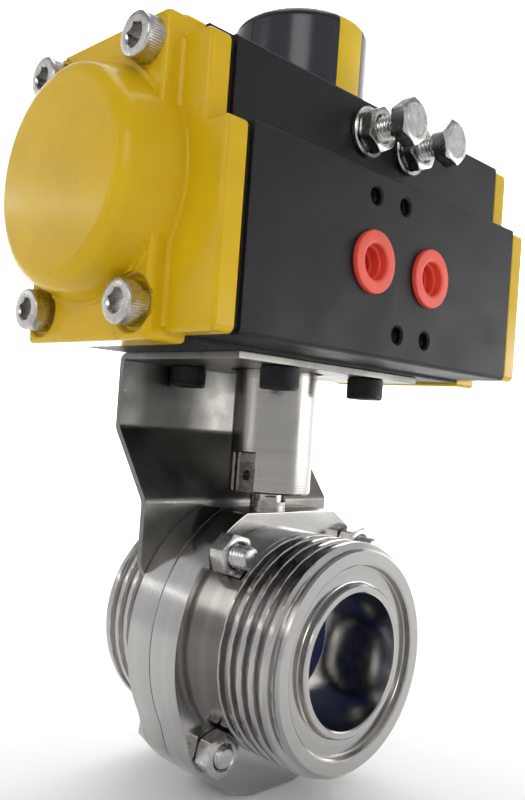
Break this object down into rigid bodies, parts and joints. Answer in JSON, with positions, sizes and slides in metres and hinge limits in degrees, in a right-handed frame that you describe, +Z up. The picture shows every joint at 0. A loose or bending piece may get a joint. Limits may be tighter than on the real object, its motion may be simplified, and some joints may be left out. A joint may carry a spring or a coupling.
{
  "type": "pneumatic actuated butterfly valve",
  "caption": "Sanitary butterfly valve with threaded union ends, turned a quarter by a rack-and-pinion pneumatic actuator on a bent bracket.",
  "frame": {"origin": "centre of the pipe bore, on the stem's axis and on the parting plane of the two valve halves", "axes": "+X along the actuator's cylinder, -Y along the pipe towards the front union end and the air ports, +Z up the stem towards the position indicator"},
  "size_m": [0.152, 0.0815, 0.2093],
  "materials": {
    "yellow_paint": "gloss",
    "black_anodised": "satin",
    "polished_steel": "polished",
    "turned_steel": "satin",
    "sheet_steel": "satin",
    "cast_aluminium": "satin",
    "black_oxide": "satin",
    "black_rubber": "matte",
    "blue_seal": "satin",
    "red_plastic": "matte",
    "black_plastic": "gloss",
    "yellow_plastic": "satin",
    "white_plastic": "satin"
  },
  "bodies": {
    "housing": {"actuator_body": "black_anodised", "left_end_cap": "yellow_paint", "right_end_cap": "yellow_paint", "left_cap_gasket": "black_rubber", "right_cap_gasket": "black_rubber", "left_port_plug": "red_plastic", "right_port_plug": "red_plastic", "lower_pinion_bush": "white_plastic", "upper_pinion_bush": "white_plastic", "mounting_bracket": "sheet_steel", "front_valve_body": "polished_steel", "rear_valve_body": "polished_steel", "seat_seal": "blue_seal", "upper_stem_bush": "turned_steel", "lower_stem_bush": "white_plastic", "left_cap_screw_lower_front": "polished_steel", "left_cap_screw_lower_rear": "polished_steel", "left_cap_screw_upper_front": "polished_steel", "left_cap_screw_upper_rear": "polished_steel", "left_stop_bolt": "polished_steel", "left_stop_nut": "polished_steel", "left_stop_washer": "polished_steel", "bracket_screw_left_front": "black_oxide", "bracket_screw_left_rear": "black_oxide", "valve_bolt_left_upper": "polished_steel", "valve_nut_left_upper": "polished_steel", "valve_bolt_left_lower": "polished_steel", "valve_nut_left_lower": "polished_steel", "right_cap_screw_lower_front": "polished_steel", "right_cap_screw_lower_rear": "polished_steel", "right_cap_screw_upper_front": "polished_steel", "right_cap_screw_upper_rear": "polished_steel", "right_stop_bolt": "polished_steel", "right_stop_nut": "polished_steel", "right_stop_washer": "polished_steel", "bracket_screw_right_front": "black_oxide", "bracket_screw_right_rear": "black_oxide", "valve_bolt_right_upper": "polished_steel", "valve_nut_right_upper": "polished_steel", "valve_bolt_right_lower": "polished_steel", "valve_nut_right_lower": "polished_steel"},
    "drive_train": {"drive_pinion": "turned_steel", "travel_cam": "turned_steel", "pinion_snap_ring": "turned_steel", "indicator_dome": "black_plastic", "indicator_stripe_front": "yellow_plastic", "indicator_stripe_rear": "yellow_plastic", "indicator_screw": "polished_steel", "stem_coupling": "turned_steel", "disc_and_stem": "polished_steel"},
    "left_piston": {"left_piston": "cast_aluminium", "left_piston_ring": "black_rubber"},
    "right_piston": {"right_piston": "cast_aluminium", "right_piston_ring": "black_rubber"}
  },
  "joints": [
    {"name": "stem_turn", "type": "hinge", "parent": "housing", "child": "drive_train", "pos_m": [0, 0, 0.11], "axis": [0, 0, 1], "range_deg": [-90, 0]},
    {"name": "left_piston_slide", "type": "slide", "parent": "housing", "child": "left_piston", "axis": [1, 0, 0], "range_m": [0, 0.01573]},
    {"name": "right_piston_slide", "type": "slide", "parent": "housing", "child": "right_piston", "axis": [-1, 0, 0], "range_m": [0, 0.01573]}
  ],
  "couplings": [
    {"joint": "left_piston_slide", "follows": "stem_turn", "m_per_rad": -0.01},
    {"joint": "right_piston_slide", "follows": "stem_turn", "m_per_rad": -0.01}
  ]
}
